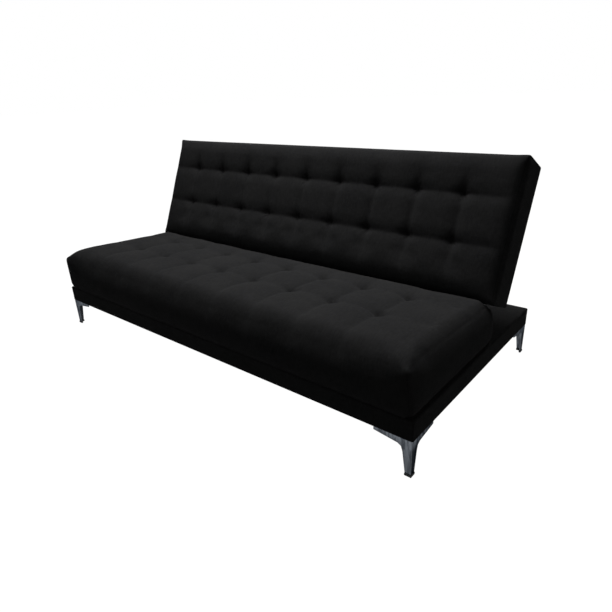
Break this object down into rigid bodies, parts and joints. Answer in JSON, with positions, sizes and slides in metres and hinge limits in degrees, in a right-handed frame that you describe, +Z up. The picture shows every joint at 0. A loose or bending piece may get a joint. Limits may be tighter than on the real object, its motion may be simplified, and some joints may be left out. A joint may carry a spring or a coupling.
{
  "type": "click clack sofa bed",
  "caption": "Armless click clack sofa bed: a tufted seat on a fabric plinth with folded metal corner legs, and a tufted back that ratchets down flat behind it.",
  "frame": {"origin": "on the floor under the middle of the footprint", "axes": "+X to the sitter's left as the sofa is seen from the front (the viewer's right), along the length; +Y to the rear; +Z up"},
  "size_m": [1.9, 0.965, 0.8146],
  "materials": {
    "fabric": "matt black linen-look weave",
    "lining": "thin black non-woven lining",
    "timber": "sawn softwood and plywood, bare",
    "gunmetal": "polished dark grey plate",
    "steel": "zinc plated",
    "plastic": "black moulded"
  },
  "bodies": {
    "base": {"base_cover": "fabric", "base_top_panel": "timber", "base_dust_cover": "lining", "base_front_rail": "timber", "base_rear_rail": "timber", "base_left_rail": "timber", "base_right_rail": "timber", "base_cross_member_1": "timber", "base_cross_member_2": "timber", "base_cross_member_3": "timber", "leg_front_left": "gunmetal", "leg_front_right": "gunmetal", "leg_rear_left": "gunmetal", "leg_rear_right": "gunmetal", "leg_glide_front_left": "plastic", "leg_glide_front_right": "plastic", "leg_glide_rear_left": "plastic", "leg_glide_rear_right": "plastic", "seat_cushion": "fabric", "seat_left_rail": "timber", "seat_right_rail": "timber", "seat_front_rail": "timber", "seat_rear_rail": "timber", "seat_cross_member_1": "timber", "seat_cross_member_2": "timber", "hinge_left_seat_plate": "steel", "hinge_left_pivot_bolt": "steel", "hinge_left_pivot_nut": "steel", "hinge_left_seat_screw_1": "steel", "hinge_left_seat_screw_2": "steel", "hinge_right_seat_plate": "steel", "hinge_right_pivot_bolt": "steel", "hinge_right_pivot_nut": "steel", "hinge_right_seat_screw_1": "steel", "hinge_right_seat_screw_2": "steel"},
    "back": {"back_cushion": "fabric", "back_rear_cover": "lining", "back_left_stile": "timber", "back_right_stile": "timber", "back_bottom_rail": "timber", "back_top_rail": "timber", "back_cross_member_1": "timber", "back_cross_member_2": "timber", "hinge_left_back_arm": "steel", "hinge_left_pawl_pin": "steel", "hinge_left_pawl_spring": "steel", "hinge_left_arm_screw_1": "steel", "hinge_left_arm_screw_2": "steel", "hinge_right_back_arm": "steel", "hinge_right_pawl_pin": "steel", "hinge_right_pawl_spring": "steel", "hinge_right_arm_screw_1": "steel", "hinge_right_arm_screw_2": "steel"},
    "pawl_left": {"hinge_left_pawl": "steel"},
    "pawl_right": {"hinge_right_pawl": "steel"}
  },
  "joints": [
    {"name": "back_recline", "type": "hinge", "parent": "base", "child": "back", "pos_m": [0, 0.1365, 0.2963], "axis": [1, 0, 0], "range_deg": [-66.8, 5]},
    {"name": "pawl_left_lift", "type": "hinge", "parent": "back", "child": "pawl_left", "pos_m": [-0.8723, 0.17432, 0.30838], "axis": [-1, 0, 0], "range_deg": [0, 8], "stiffness_Nm_per_rad": 0.05, "springref_deg": -11.46},
    {"name": "pawl_right_lift", "type": "hinge", "parent": "back", "child": "pawl_right", "pos_m": [0.8723, 0.17432, 0.30838], "axis": [-1, 0, 0], "range_deg": [0, 8], "stiffness_Nm_per_rad": 0.05, "springref_deg": -11.46}
  ]
}
